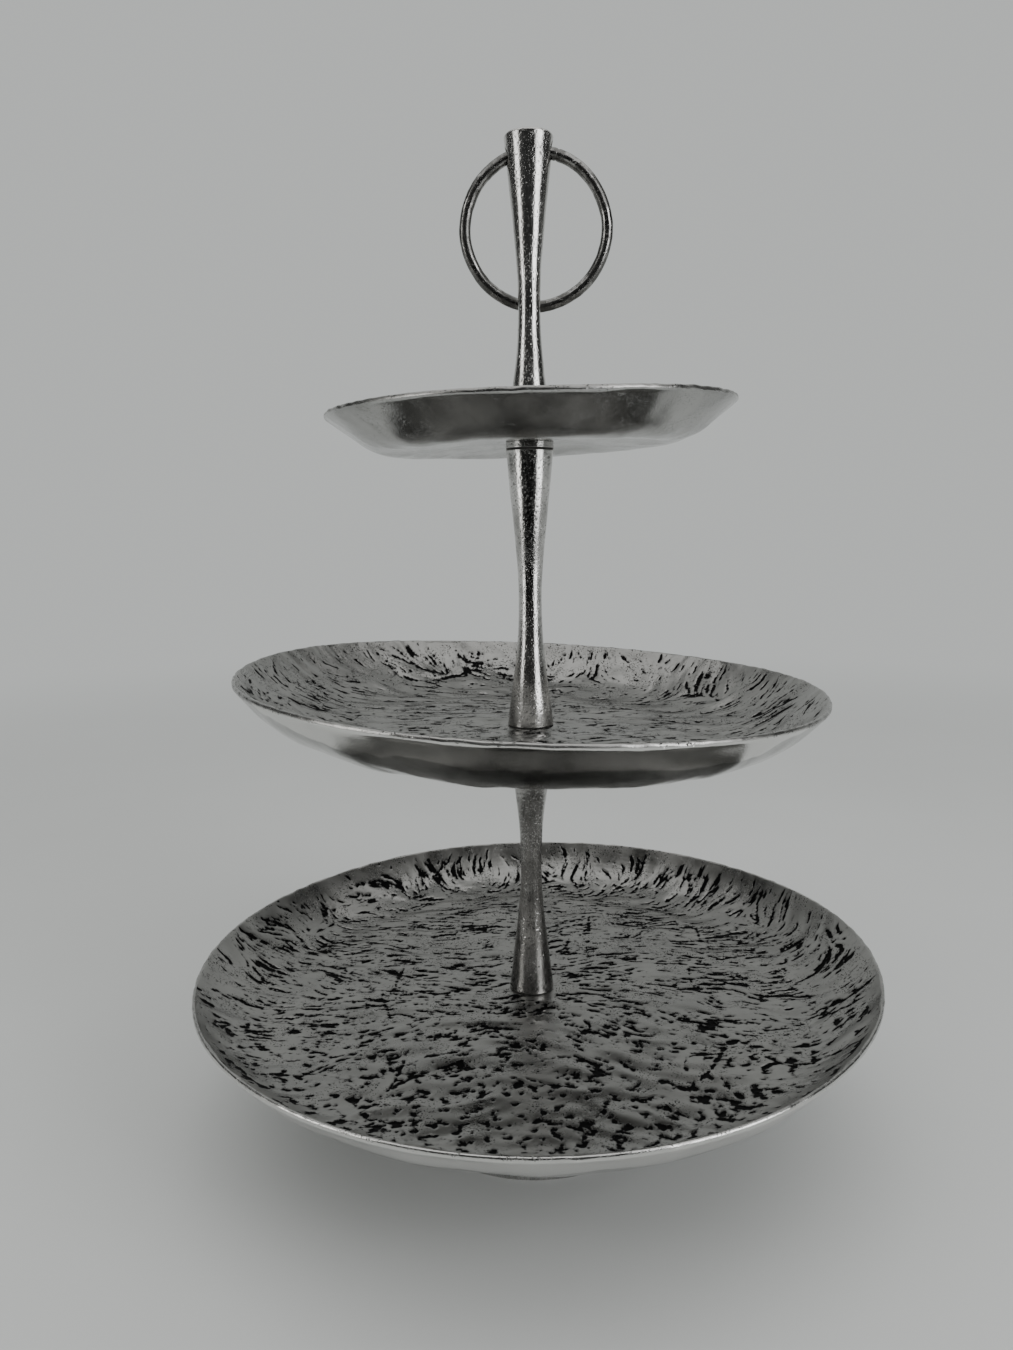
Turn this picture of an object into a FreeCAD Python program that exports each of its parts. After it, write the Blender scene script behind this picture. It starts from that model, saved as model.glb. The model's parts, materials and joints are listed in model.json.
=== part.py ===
"""A three-tier cake stand in cast aluminium. Millimetres, +Z up, origin in the middle of the foot's base.

A trumpet foot carries a large dish. Three waisted stems stand one on another, and a dish is clamped at
each joint by a threaded stud. A loose ring hangs from a slanting hole through the top of the upper stem,
the handle. The dishes are hand-made: each floor is a little domed, and each dish sits slightly out of level
on a true seat.
"""

import FreeCAD
import Part
import math
import os
import Sketcher

OUT = "parts"

SIZES = {
    # the clamped stack, from the table up
    "foot_height": 58.6,
    "bottom_seat": 3.6,
    "lower_length": 124.1,
    "lower_collar_height": 2.8,
    "middle_seat": 4.2,
    "middle_length": 126.4,
    "upper_collar_height": 3.2,
    "top_seat": 4.4,
    "handle_length": 124.0,
    # foot
    "foot_radius": 60.0,
    "foot_edge": 3.0,
    "foot_flare": 54.0,
    "foot_wall": 4.0,
    "foot_ceiling": 26.0,
    "foot_hollow_top": 11.5,
    "foot_hollow_flare": 66.0,
    # stems
    "stem_end": 10.75,
    "stem_curve": 240.0,
    "lower_waist": 4.95,
    "lower_waist_height": 62.8,
    "middle_waist": 5.3,
    "middle_waist_height": 57.5,
    "handle_waist": 4.9,
    "handle_waist_height": 54.9,
    "stem_edge": 0.6,
    "handle_edge": 1.2,
    # threads, drawn as plain cylinders: tapped holes and the studs in them
    "tap": 3.0,
    "tap_depth": 13.0,
    "tap_point": 1.7,
    "stud": 2.95,
    "stud_bite": 9.0,
    "stud_root": 12.0,
    "stud_end": 0.7,
    "clearance_hole": 3.3,
    # fasteners under the foot
    "washer_radius": 9.0,
    "washer_height": 1.6,
    "nut_flats": 10.0,
    "nut_height": 5.0,
    "stud_tail": 3.0,
    "nut_chamfer": 0.8,
    # dishes
    "dish_floor": 3.0,
    "dish_rim": 1.7,
    "bottom_radius": 160.0,
    "bottom_run": 17.0,
    "bottom_bend": 45.0,
    "bottom_outer_bend": 38.0,
    "bottom_rise": 21.1,
    "bottom_dome": 1.2,
    "bottom_offset": 1.9,
    "bottom_tilt": -0.94,
    "middle_radius": 134.6,
    "middle_run": 23.0,
    "middle_bend": 62.0,
    "middle_outer_bend": 55.0,
    "middle_rise": 24.3,
    "middle_dome": 1.4,
    "middle_offset": -1.3,
    "middle_tilt": 2.6,
    "top_radius": 90.7,
    "top_run": 21.5,
    "top_bend": 22.0,
    "top_outer_bend": 25.0,
    "top_rise": 11.9,
    "top_dome": 5.2,
    "top_offset": 0.6,
    "top_tilt": -2.05,
    # ring and the hole it hangs in
    "ring_radius": 31.2,
    "ring_wire": 2.5,
    "ring_hang": 30.3,
    "ring_hole": 4.0,
    "ring_hole_drop": 7.7,
    "ring_slant": 6.0,
    "ring_lean": 7.3,
}

doc = FreeCAD.newDocument("cake_stand")
sheet = doc.addObject("Spreadsheet::Sheet", "Sheet")


def fill_sheet():
    """Each driving size in its own cell, under its alias."""
    for row, (alias, value) in enumerate(SIZES.items(), start=1):
        sheet.set("A%d" % row, alias)
        sheet.set("B%d" % row, str(value))
        sheet.setAlias("B%d" % row, alias)
    doc.recompute()


class Size:
    """A length with the sheet formula that gives it, so that geometry and expression are written once."""

    def __init__(self, value, text):
        self.value = value
        self.text = text

    @staticmethod
    def of(other):
        return other if isinstance(other, Size) else Size(float(other), repr(float(other)))

    def __add__(self, other):
        other = Size.of(other)
        return Size(self.value + other.value, "(%s + %s)" % (self.text, other.text))

    def __sub__(self, other):
        other = Size.of(other)
        return Size(self.value - other.value, "(%s - %s)" % (self.text, other.text))

    def __mul__(self, other):
        other = Size.of(other)
        return Size(self.value * other.value, "(%s * %s)" % (self.text, other.text))

    def __truediv__(self, other):
        other = Size.of(other)
        return Size(self.value / other.value, "(%s / %s)" % (self.text, other.text))

    def __neg__(self):
        return Size(-self.value, "(0 - %s)" % self.text)


def cell(alias):
    """A driving size, read from the sheet."""
    return Size(float(sheet.get(alias)), "Sheet." + alias)


ZERO = Size(0.0, "0")


# --- sketches ---


def pin_point(sketch, geometry, end, x, y):
    """Holds a sketch point at x, y with dimensions bound to the sheet."""
    for size, kind, axis in ((x, "DistanceX", -2), (y, "DistanceY", -1)):
        if size.value == 0.0:
            sketch.addConstraint(Sketcher.Constraint("PointOnObject", geometry, end, axis))
        else:
            index = sketch.addConstraint(Sketcher.Constraint(kind, -1, 1, geometry, end, size.value))
            sketch.setExpression("Constraints[%d]" % index, size.text)


def upright_sketch(body, name):
    """An empty sketch of the body, on its XZ plane."""
    sketch = body.newObject("Sketcher::SketchObject", name)
    plane = [f for f in body.Origin.OriginFeatures if f.Role == "XZ_Plane"][0]
    sketch.AttachmentSupport = (plane, [""])
    sketch.MapMode = "FlatFace"
    return sketch


def revolved(body, sketch, name):
    """Turns a sketch right round the Z axis."""
    turn = body.newObject("PartDesign::Revolution", name)
    turn.Profile = sketch
    turn.ReferenceAxis = (sketch, ["V_Axis"])
    turn.Angle = 360
    sketch.Visibility = False
    doc.recompute()


def outline(body, name, corners, bends=()):
    """A closed outline in the XZ plane through corners, each a pair of sizes.

    bends maps a corner's number to how the side that leaves it curves: a radius, positive where the arc
    bulges to the right of its direction, or "crown" for an arc centred on the Z axis.
    """
    sketch = upright_sketch(body, name)
    bends = dict(bends)
    points = [FreeCAD.Vector(x.value, z.value, 0) for x, z in corners]
    for i, (start, stop) in enumerate(zip(points, points[1:] + points[:1])):
        bend = bends.get(i)
        if bend is None:
            sketch.addGeometry(Part.LineSegment(start, stop))
        else:
            sketch.addGeometry(Part.Arc(start, arc_middle(start, stop, bend), stop))
    for i, (x, z) in enumerate(corners):
        start, stop = arc_ends(sketch, i, points[i])
        after = (i + 1) % len(corners)
        first, _ = arc_ends(sketch, after, points[after])
        sketch.addConstraint(Sketcher.Constraint("Coincident", i, stop, after, first))
        pin_point(sketch, i, start, x, z)
    for i, bend in bends.items():
        if bend == "crown":
            sketch.addConstraint(Sketcher.Constraint("PointOnObject", i, 3, -2))
        else:
            index = sketch.addConstraint(Sketcher.Constraint("Radius", i, abs(bend.value)))
            sketch.setExpression("Constraints[%d]" % index, (bend if bend.value > 0 else -bend).text)
    return sketch


def arc_middle(start, stop, bend):
    """The middle of the arc from start to stop."""
    if bend == "crown":
        on_axis, rim = (start, stop) if abs(start.x) < abs(stop.x) else (stop, start)
        drop = on_axis.y - rim.y
        radius = (rim.x**2 + drop**2) / (2 * drop)
        half = math.asin(rim.x / abs(radius)) / 2
        return FreeCAD.Vector(abs(radius) * math.sin(half), on_axis.y - radius * (1 - math.cos(half)), 0)
    chord = stop - start
    radius = abs(bend.value)
    sagitta = radius - math.sqrt(radius**2 - chord.Length**2 / 4)
    side = FreeCAD.Vector(chord.y, -chord.x, 0).normalize() * math.copysign(sagitta, bend.value)
    return (start + stop) / 2 + side


def arc_ends(sketch, index, begins_at):
    """Which numbered ends of a sketch edge are its start and its stop: an arc always runs anticlockwise."""
    first = sketch.getPoint(index, 1)
    return (1, 2) if first.distanceToPoint(begins_at) < 1e-6 else (2, 1)


def turned(name, corners, bends=()):
    """A body turned about Z from an outline."""
    body = doc.addObject("PartDesign::Body", name)
    revolved(body, outline(body, name + "_outline", corners, bends), name + "_turn")
    return body


def circles_at(shape, radius, height):
    """Names of a shape's circular edges of that radius at that height."""
    found = []
    for number, edge in enumerate(shape.Edges, start=1):
        if edge.Degenerated or not isinstance(edge.Curve, Part.Circle):
            continue
        if abs(edge.Curve.Radius - radius.value) < 1e-3 and abs(edge.Curve.Center.z - height.value) < 1e-3:
            found.append("Edge%d" % number)
    return found


def rounded(body, name, radius, height, fillet):
    """Rounds the circular edge of that radius at that height."""
    base = body.Tip
    feature = body.newObject("PartDesign::Fillet", name)
    feature.Base = (base, circles_at(base.Shape, radius, height))
    feature.Radius = fillet.value
    feature.setExpression("Radius", fillet.text)
    doc.recompute()
    return body


def raise_to(feature, height):
    """Stands a feature at a height."""
    feature.setExpression("Placement.Base.z", height.text)


def cylinder(name, radius, length, height):
    """A plain upright cylinder from height up."""
    made = doc.addObject("Part::Cylinder", name)
    made.setExpression("Radius", radius.text)
    made.setExpression("Height", length.text)
    raise_to(made, height)
    return made


def boolean(kind, name, base, tool):
    """A Cut, Fuse or Common of two objects."""
    made = doc.addObject("Part::" + kind, name)
    made.Base = base
    made.Tool = tool
    return made


# --- levels of the clamped stack ---

fill_sheet()
bottom_seat_z = cell("foot_height")
lower_stem_z = bottom_seat_z + cell("bottom_seat")
lower_collar_z = lower_stem_z + cell("lower_length")
middle_seat_z = lower_collar_z + cell("lower_collar_height")
middle_stem_z = middle_seat_z + cell("middle_seat")
upper_collar_z = middle_stem_z + cell("middle_length")
top_seat_z = upper_collar_z + cell("upper_collar_height")
handle_z = top_seat_z + cell("top_seat")
handle_top_z = handle_z + cell("handle_length")


# --- the pieces ---


def make_foot():
    """A hollow trumpet: the outer flare, the hollow under it, and a clearance hole up the solid neck."""
    edge = cell("foot_radius")
    inner = edge - cell("foot_wall")
    corners = [
        (cell("clearance_hole"), cell("foot_ceiling")),
        (cell("foot_hollow_top"), cell("foot_ceiling")),
        (inner, cell("foot_edge") / 2),
        (inner, ZERO),
        (edge, ZERO),
        (edge, cell("foot_edge")),
        (cell("stem_end"), cell("foot_height")),
        (cell("clearance_hole"), cell("foot_height")),
    ]
    foot = turned("foot", corners, {1: cell("foot_hollow_flare"), 5: -cell("foot_flare")})
    rounded(foot, "foot_edge_round", edge, cell("foot_edge"), cell("foot_edge") / 3)
    return foot


def make_stem(name, length, waist, waist_height, level, top_open=True):
    """A waisted stem: two cones that run tangent into one long arc at the waist, tapped at its ends."""
    body = doc.addObject("PartDesign::Body", name)
    end, tap = cell("stem_end"), cell("tap")
    deep = cell("tap_depth")
    tip = deep + cell("tap_point")
    curve = cell("stem_curve")
    start_low, touch_low = tangent_point(end, ZERO, waist, waist_height, curve)
    start_high, touch_high = tangent_point(end, length, waist, waist_height, curve)
    sketch = upright_sketch(body, name + "_outline")
    inside = [(tap, length), (tap, length - deep), (ZERO, length - tip)] if top_open else [(ZERO, length)]
    inside += [(ZERO, tip), (tap, deep), (tap, ZERO), (end, ZERO)]
    middle = FreeCAD.Vector(waist.value, waist_height.value, 0)
    sketch.addGeometry(Part.LineSegment(start_low, touch_low))
    sketch.addGeometry(Part.Arc(touch_low, middle, touch_high))
    sketch.addGeometry(Part.LineSegment(touch_high, start_high))
    pin_point(sketch, 0, 1, end, ZERO)
    arc_start, arc_stop = arc_ends(sketch, 1, touch_low)
    sketch.addConstraint(Sketcher.Constraint("Tangent", 0, 2, 1, arc_start))
    sketch.addConstraint(Sketcher.Constraint("Tangent", 1, arc_stop, 2, 1))
    pin_point(sketch, 1, 3, waist + curve, waist_height)
    index = sketch.addConstraint(Sketcher.Constraint("Radius", 1, curve.value))
    sketch.setExpression("Constraints[%d]" % index, curve.text)
    pin_point(sketch, 2, 2, end, length)
    last = start_high
    for number, (x, z) in enumerate(inside, start=3):
        here = FreeCAD.Vector(x.value, z.value, 0)
        sketch.addGeometry(Part.LineSegment(last, here))
        sketch.addConstraint(Sketcher.Constraint("Coincident", number - 1, 2, number, 1))
        if number < 2 + len(inside):
            pin_point(sketch, number, 2, x, z)
        last = here
    sketch.addConstraint(Sketcher.Constraint("Coincident", 2 + len(inside), 2, 0, 1))
    revolved(body, sketch, name + "_turn")
    rounded(body, name + "_foot_edge", end, ZERO, cell("stem_edge"))
    rounded(body, name + "_head_edge", end, length, cell("stem_edge") if top_open else cell("handle_edge"))
    raise_to(body, level)
    return body


def tangent_point(end, height, waist, waist_height, curve):
    """The stem's end corner, and where a line from it touches the waist's arc."""
    corner = FreeCAD.Vector(end.value, height.value, 0)
    centre = FreeCAD.Vector(waist.value + curve.value, waist_height.value, 0)
    reach = corner - centre
    turn = math.acos(curve.value / reach.Length)
    turn = turn if corner.y < centre.y else -turn
    away = FreeCAD.Vector(reach).normalize() * curve.value
    touch = FreeCAD.Vector(
        away.x * math.cos(turn) + away.y * math.sin(turn),
        away.y * math.cos(turn) - away.x * math.sin(turn),
        0,
    )
    return corner, centre + touch


def make_collar(name, height, level):
    """A spacer disc of the stem's own width, its edges broken so that the joint shows as a fine line."""
    end, hole = cell("stem_end"), cell("clearance_hole")
    collar = turned(name, [(hole, ZERO), (end, ZERO), (end, height), (hole, height)])
    rounded(collar, name + "_low_edge", end, ZERO, cell("stem_edge"))
    rounded(collar, name + "_high_edge", end, height, cell("stem_edge") / 2)
    raise_to(collar, level)
    return collar


def make_dish(name, key, seat_level):
    """A dish: a turned shell a little out of level, with a level seat for the stems through its middle."""
    radius, rise, dome = cell(key + "_radius"), cell(key + "_rise"), cell(key + "_dome")
    half, rim = cell("dish_floor") / 2, cell("dish_rim")
    corner = radius - cell(key + "_run")
    corners = [
        (ZERO, -half),
        (corner, -half - dome),
        (radius, rise - rim),
        (radius, rise - rim / 3),
        (radius - rim, rise),
        (corner - half / 2, half - dome),
        (ZERO, half),
    ]
    shell = turned(name + "_shell", corners, {0: "crown", 5: "crown"})
    rounded(shell, name + "_outer_bend", corner, -half - dome, cell(key + "_outer_bend"))
    rounded(shell, name + "_inner_bend", corner - half / 2, half - dome, cell(key + "_bend"))
    seat = cell(key + "_seat")
    middle = seat_level + seat / 2
    tilt = FreeCAD.Rotation(FreeCAD.Vector(0, 1, 0), cell(key + "_tilt").value)
    shell.Placement = FreeCAD.Placement(FreeCAD.Vector(0, 0, 0), tilt)
    shell.setExpression("Placement.Base.x", cell(key + "_offset").text)
    raise_to(shell, middle)
    pad = cylinder(name + "_seat", cell("stem_end"), seat, seat_level)
    hole = cylinder(name + "_hole", cell("clearance_hole"), seat * 3, seat_level - seat)
    whole = boolean("Fuse", name + "_cast", shell, pad)
    return boolean("Cut", name, whole, hole)


def make_stud(name, low, high):
    """A threaded stud between two levels, drawn at its crest diameter with chamfered ends."""
    radius, chamfer = cell("stud"), cell("stud_end")
    length = high - low
    corners = [
        (ZERO, ZERO),
        (radius - chamfer, ZERO),
        (radius, chamfer),
        (radius, length - chamfer),
        (radius - chamfer, length),
        (ZERO, length),
    ]
    stud = turned(name, corners)
    raise_to(stud, low)
    return stud


def make_washer(level):
    """The plain washer between the nut and the foot's ceiling."""
    hole, radius, height = cell("clearance_hole"), cell("washer_radius"), cell("washer_height")
    washer = turned("base_washer", [(hole, ZERO), (radius, ZERO), (radius, height), (hole, height)])
    raise_to(washer, level)
    return washer


def make_nut(level):
    """A hexagon nut: a prism trimmed by a chamfered blank that carries the tapped hole."""
    corner = cell("nut_flats") / math.sqrt(3)
    height, chamfer, tap = cell("nut_height"), cell("nut_chamfer"), cell("tap")
    corners = [
        (tap, ZERO),
        (corner - chamfer, ZERO),
        (corner, chamfer / 2),
        (corner, height - chamfer / 2),
        (corner - chamfer, height),
        (tap, height),
    ]
    blank = turned("nut_blank", corners)
    raise_to(blank, level)
    prism = doc.addObject("Part::Prism", "nut_prism")
    prism.Polygon = 6
    prism.setExpression("Circumradius", corner.text)
    prism.setExpression("Height", height.text)
    raise_to(prism, level)
    return boolean("Common", "base_nut", prism, blank)


def hinge_frame():
    """Where the ring's hole crosses the handle's axis, the hole's direction, and the way the ring hangs."""
    slant, lean = math.radians(cell("ring_slant").value), math.radians(cell("ring_lean").value)
    point = FreeCAD.Vector(0, 0, (handle_top_z - cell("ring_hole_drop")).value)
    along = FreeCAD.Vector(math.cos(slant), 0, math.sin(slant))
    down = FreeCAD.Vector(math.sin(slant), 0, -math.cos(slant))
    hang = down * math.cos(lean) + FreeCAD.Vector(0, math.sin(lean), 0)
    return point, along, hang


def make_handle():
    """The upper stem, with the ring's slanting hole drilled through its head."""
    stem = make_stem(
        "handle_casting",
        cell("handle_length"),
        cell("handle_waist"),
        cell("handle_waist_height"),
        handle_z,
        top_open=False,
    )
    point, along, _ = hinge_frame()
    reach = cell("stem_end") * 2
    drill = doc.addObject("Part::Cylinder", "ring_hole")
    drill.setExpression("Radius", cell("ring_hole").text)
    drill.setExpression("Height", (reach * 2).text)
    turn = FreeCAD.Rotation(FreeCAD.Vector(0, 0, 1), along)
    drill.Placement = FreeCAD.Placement(point - along * reach.value, turn)
    return boolean("Cut", "handle_stem", stem, drill)


def make_ring():
    """The carrying ring, leaning on the back of the handle as it hangs."""
    point, along, hang = hinge_frame()
    normal = along.cross(hang)
    ring = doc.addObject("Part::Torus", "carrying_ring")
    ring.setExpression("Radius1", cell("ring_radius").text)
    ring.setExpression("Radius2", cell("ring_wire").text)
    facing = FreeCAD.Rotation(along, normal.cross(along), normal, "ZXY")
    ring.Placement = FreeCAD.Placement(point + hang * cell("ring_hang").value, facing)
    return ring


def make_all():
    """Every piece, from the foot up, each at its level in the stack."""
    nut_z = cell("foot_ceiling") - cell("washer_height") - cell("nut_height")
    middle_top = middle_stem_z + cell("stud_bite")
    handle_bite = handle_z + cell("stud_bite")
    return [
        make_foot(),
        make_washer(cell("foot_ceiling") - cell("washer_height")),
        make_nut(nut_z),
        make_stud("base_stud", nut_z - cell("stud_tail"), lower_stem_z + cell("stud_root")),
        make_dish("bottom_tray", "bottom", bottom_seat_z),
        make_stem(
            "lower_stem",
            cell("lower_length"),
            cell("lower_waist"),
            cell("lower_waist_height"),
            lower_stem_z,
        ),
        make_collar("lower_collar", cell("lower_collar_height"), lower_collar_z),
        make_stud("lower_stud", lower_collar_z - cell("stud_root"), middle_top),
        make_dish("middle_tray", "middle", middle_seat_z),
        make_stem(
            "middle_stem",
            cell("middle_length"),
            cell("middle_waist"),
            cell("middle_waist_height"),
            middle_stem_z,
        ),
        make_collar("upper_collar", cell("upper_collar_height"), upper_collar_z),
        make_stud("upper_stud", upper_collar_z - cell("stud_root"), handle_bite),
        make_dish("top_tray", "top", top_seat_z),
        make_handle(),
        make_ring(),
    ]


def check(parts):
    """Stops before anything is written if a feature failed or a piece isn't a sound solid."""
    failed = [o.Label for o in doc.Objects if "Invalid" in o.State or "Error" in o.State]
    if failed:
        raise RuntimeError("failed features: %s" % failed)
    for part in parts:
        shape = part.Shape
        if shape.isNull() or not shape.isValid() or not shape.Solids:
            raise RuntimeError("%s isn't a valid solid" % part.Label)
        print("%-14s %2d solid  %10.1f mm3" % (part.Label, len(shape.Solids), shape.Volume))


parts = make_all()
doc.recompute()
check(parts)
os.makedirs(OUT, exist_ok=True)
for part in parts:
    part.Shape.exportStep(os.path.join(OUT, part.Label + ".step"))
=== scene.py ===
"""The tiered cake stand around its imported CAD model: pitted cast dishes, waisted stems, a foot and a ring.

Lengths are worked out in millimetres in the row's own frame and turned into metres as each mesh is made.
"""

import json
import math

import bmesh
import bpy
import numpy as np
from mathutils import Matrix, Vector


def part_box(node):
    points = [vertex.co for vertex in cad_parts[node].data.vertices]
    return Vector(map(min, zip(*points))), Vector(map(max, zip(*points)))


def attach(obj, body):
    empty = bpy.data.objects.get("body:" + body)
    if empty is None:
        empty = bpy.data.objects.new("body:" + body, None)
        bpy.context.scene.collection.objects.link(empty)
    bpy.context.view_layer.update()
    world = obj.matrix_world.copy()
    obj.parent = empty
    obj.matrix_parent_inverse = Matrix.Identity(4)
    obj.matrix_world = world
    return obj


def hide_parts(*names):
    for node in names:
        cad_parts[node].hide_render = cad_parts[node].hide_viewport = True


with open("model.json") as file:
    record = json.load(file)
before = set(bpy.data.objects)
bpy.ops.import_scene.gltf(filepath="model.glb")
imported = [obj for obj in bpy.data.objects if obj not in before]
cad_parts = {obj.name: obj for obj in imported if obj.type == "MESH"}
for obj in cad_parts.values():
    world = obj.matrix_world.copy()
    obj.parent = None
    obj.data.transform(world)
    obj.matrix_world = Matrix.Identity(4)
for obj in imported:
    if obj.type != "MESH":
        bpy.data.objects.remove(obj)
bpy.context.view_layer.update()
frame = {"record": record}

MM = 0.001

# Sizes shared by the parts that clamp together, in mm.
SEAT_RADIUS = 10.75     # a stem end, a collar, and the level seat they meet
SEAT_FADE = 6.0         # how far out from the seat a dish takes to reach its own tilt
BORE = 3.3              # the clearance hole round a stud
TAP = 3.0               # the tapped hole in a stem end
TAP_DEPTH = 13.0
TAP_POINT = 14.7
FLOOR_THICKNESS = 3.0   # a dish, at its floor
LIP_THICKNESS = 1.7     # and at its lip

# Looks shared by several materials.
JOINT_TARNISH_AND_SHADE = 1.8     # grain value of the dark line at a joint: partly tarnish, partly painted shade
NO_PIT = -3.0           # pit value of metal that is nowhere near a pit
BACKDROP = 0.56
ROOM_TINT = (0.97, 1.0, 0.985)


# --- smooth random maps --------------------------------------------------------------------------------


def smoothstep(low, high, value):
    """A smooth change from 0 at low to 1 at high. Low may be the larger of the two."""
    t = np.clip((value - low) / (high - low), 0.0, 1.0)
    return t * t * (3.0 - 2.0 * t)


def softened(values, step_x, step_y, sigma):
    """A Gaussian blur of a wrapping map, sigma in mm."""
    kx = np.fft.fftfreq(values.shape[1], step_x)[None, :]
    ky = np.fft.fftfreq(values.shape[0], step_y)[:, None]
    kernel = np.exp(-2.0 * (math.pi * sigma) ** 2 * (kx**2 + ky**2))
    return np.real(np.fft.ifft2(np.fft.fft2(values) * kernel))


def speckle(rng, shape, step_x, step_y, fine, coarse):
    """Random relief with features between two sizes in mm, zero mean and unit spread."""
    white = rng.standard_normal(shape)
    relief = softened(white, step_x, step_y, fine) - softened(white, step_x, step_y, coarse)
    return (relief - relief.mean()) / relief.std()


class Map:
    """A square map of values around a dish's axis, one value each step."""

    def __init__(self, reach, step, seed):
        self.step = step
        self.half = int(math.ceil(reach / step)) + 4
        self.size = 2 * self.half + 1
        self.rng = np.random.default_rng(seed)
        line = np.arange(-self.half, self.half + 1) * step
        self.x, self.y = np.meshgrid(line, line)
        self.r = np.hypot(self.x, self.y)

    def noise(self, fine, coarse):
        """Random relief over the whole map, with features between two sizes in mm."""
        return speckle(self.rng, (self.size, self.size), self.step, self.step, fine, coarse)

    def read(self, values, x, y):
        """The map's values at any places, read between its own points."""
        u = np.clip(x / self.step + self.half, 0, self.size - 1.001)
        v = np.clip(y / self.step + self.half, 0, self.size - 1.001)
        i, j = u.astype(int), v.astype(int)
        a, b = u - i, v - j
        low = values[j, i] * (1 - a) + values[j, i + 1] * a
        high = values[j + 1, i] * (1 - a) + values[j + 1, i + 1] * a
        return low * (1 - b) + high * b

    def combed(self, values, angle, length):
        """Values smeared along the flow, so that they draw out into streaks."""
        total = values.copy()
        weight = 1.0
        stride = self.step * 1.3
        steps = int(length / stride / 2)
        for way in (1.0, -1.0):
            x, y = self.x.copy(), self.y.copy()
            heading = np.stack((np.cos(angle), np.sin(angle)))
            for count in range(1, steps + 1):
                x = x + way * heading[0] * stride
                y = y + way * heading[1] * stride
                turned = np.stack((self.read(np.cos(2 * angle), x, y), self.read(np.sin(2 * angle), x, y)))
                local = 0.5 * np.arctan2(turned[1], turned[0])
                new = np.stack((np.cos(local), np.sin(local)))
                same = np.sign((new * heading).sum(axis=0))
                heading = new * np.where(same == 0, 1.0, same)
                fade = 1.0 - count / (steps + 1)
                total += fade * self.read(values, x, y)
                if way > 0:
                    weight += 2 * fade
        total = total / weight
        return (total - total.mean()) / total.std()


# --- meshes --------------------------------------------------------------------------------------------


def outwards(mesh):
    """Turns every face of a closed mesh to face out."""
    work = bmesh.new()
    work.from_mesh(mesh)
    bmesh.ops.recalc_face_normals(work, faces=work.faces)
    work.to_mesh(mesh)
    work.free()


def make_piece(name, points, faces, material, body, node, values=None):
    """A closed, smooth-shaded mesh from points in mm. It stands for one CAD node and rides on its body."""
    mesh = bpy.data.meshes.new(name)
    mesh.from_pydata((np.asarray(points) * MM).tolist(), [], faces)
    for label, numbers in (values or {}).items():
        layer = mesh.attributes.new(label, "FLOAT", "POINT")
        layer.data.foreach_set("value", np.asarray(numbers, dtype=np.float32))
    outwards(mesh)
    mesh.polygons.foreach_set("use_smooth", [True] * len(mesh.polygons))
    mesh.materials.append(material)
    piece = bpy.data.objects.new(name, mesh)
    bpy.context.scene.collection.objects.link(piece)
    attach(piece, body)
    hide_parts(node)
    return piece


def resampled(profile, spacing):
    """A radius and height outline with points no further apart than spacing, its own corners kept."""
    rows = [np.asarray(profile[0], dtype=float)]
    for start, stop in zip(profile, profile[1:]):
        start, stop = np.asarray(start, dtype=float), np.asarray(stop, dtype=float)
        pieces = max(1, int(math.ceil(np.linalg.norm(stop - start) / spacing)))
        rows.extend(start + (stop - start) * k / pieces for k in range(1, pieces + 1))
    return np.array(rows)


def rounded_corner(before, corner, after, radius, count=5):
    """Points of an arc that rounds one corner of an outline."""
    before, corner, after = (np.asarray(p, dtype=float) for p in (before, corner, after))
    to_before = (before - corner) / np.linalg.norm(before - corner)
    to_after = (after - corner) / np.linalg.norm(after - corner)
    half = math.acos(float(np.clip(to_before @ to_after, -1, 1))) / 2
    reach = radius / math.tan(half)
    middle = to_before + to_after
    centre = corner + middle / np.linalg.norm(middle) * radius / math.sin(half)
    first, last = corner + to_before * reach, corner + to_after * reach
    out = []
    for k in range(count + 1):
        toward = first + (last - first) * k / count - centre
        out.append(tuple(centre + toward / np.linalg.norm(toward) * radius))
    return out


def outline(corners):
    """An outline from corners: (radius, height) or (radius, height, rounding)."""
    made = []
    for k, corner in enumerate(corners):
        if len(corner) == 3:
            made.extend(rounded_corner(corners[k - 1][:2], corner[:2], corners[k + 1][:2], corner[2]))
        else:
            made.append(corner)
    return made


def lathe(profile, segments, closed):
    """Points and faces of a turned form. A closed profile is a loop. An open one starts and ends on the
    axis."""
    profile = np.asarray(profile, dtype=float)
    angles = np.arange(segments) * 2 * math.pi / segments
    rings = profile if closed else profile[1:-1]
    radius, height = rings[:, 0][:, None], rings[:, 1][:, None]
    heights = np.broadcast_to(height, (len(rings), segments))
    points = np.stack((radius * np.cos(angles), radius * np.sin(angles), heights), axis=-1).reshape(-1, 3)
    here = np.arange(segments)
    after = (here + 1) % segments
    faces = []
    for row in range(len(rings) if closed else len(rings) - 1):
        low, high = row * segments, (row + 1) % len(rings) * segments
        faces.extend(np.stack((low + here, low + after, high + after, high + here), axis=1).tolist())
    if not closed:
        first, last = len(points), len(points) + 1
        points = np.vstack((points, [0, 0, profile[0][1]], [0, 0, profile[-1][1]]))
        end = (len(rings) - 1) * segments
        faces.extend([first, int(b), int(a)] for a, b in zip(here, after))
        faces.extend([last, int(end + a), int(end + b)] for a, b in zip(here, after))
    return points, faces


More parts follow.
